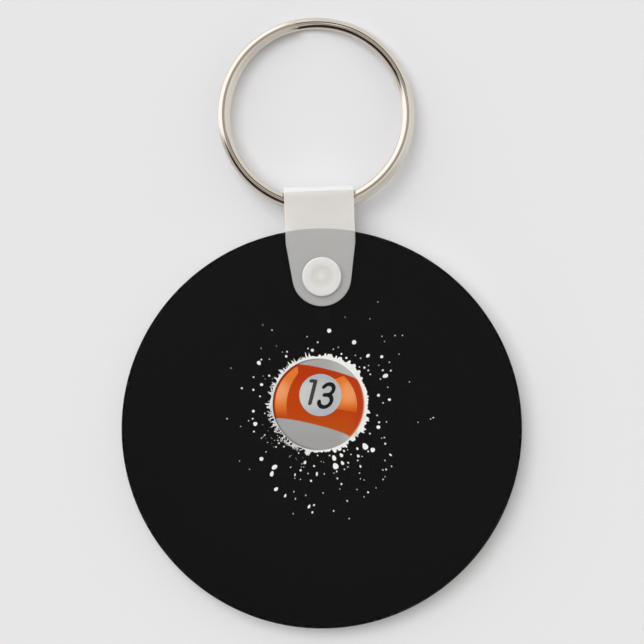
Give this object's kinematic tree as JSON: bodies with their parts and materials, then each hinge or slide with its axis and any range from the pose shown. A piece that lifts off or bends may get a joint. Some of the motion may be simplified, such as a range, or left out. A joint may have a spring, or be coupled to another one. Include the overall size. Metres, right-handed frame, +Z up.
{
  "type": "key ring with printed fob",
  "caption": "Key ring: round flat laminated fob printed with a striped numbered pool ball, held by a folded translucent snap strap on a steel split ring.",
  "frame": {"origin": "on the table under the middle of the footprint of the key ring as it lies on its back, printed face up", "axes": "+Z up from the table; +Y from the fob towards the split ring; +X to the right of the printed face. The fob leans 2.3 degrees about X because its snap lifts it, and the split ring slopes 6.4 degrees back down to the table."},
  "size_m": [0.0572, 0.0874, 0.0072],
  "materials": {
    "clear_film": "clear satin laminating film over the print",
    "black_print": "black print with a striped ball and white splatter",
    "white_core": "white plastic core, cut edge",
    "white_back": "plain white satin back",
    "milky_plastic": "milky translucent soft plastic",
    "white_plastic": "opaque white moulded plastic",
    "nickel": "bright warm nickel plating on steel wire"
  },
  "bodies": {
    "fob": {"clear_cover": "clear_film", "printed_face": "black_print", "core_disc": "white_core", "back_sheet": "white_back"},
    "strap_and_snap": {"strap": "milky_plastic", "snap_cap": "white_plastic", "snap_socket": "white_plastic"},
    "ring": {"split_ring": "nickel"}
  },
  "joints": [
    {"name": "strap_swing", "type": "hinge", "parent": "fob", "child": "strap_and_snap", "pos_m": [0, 0.00664, 0.00356], "axis": [0, -0.0403, 0.9992], "range_deg": [-27, 22.8]},
    {"name": "ring_swing", "type": "hinge", "parent": "strap_and_snap", "child": "ring", "pos_m": [-0.00039, 0.01718, 0.00398], "axis": [0.9993, 0.0366, 0.0015], "range_deg": [-96, 113.5]}
  ]
}
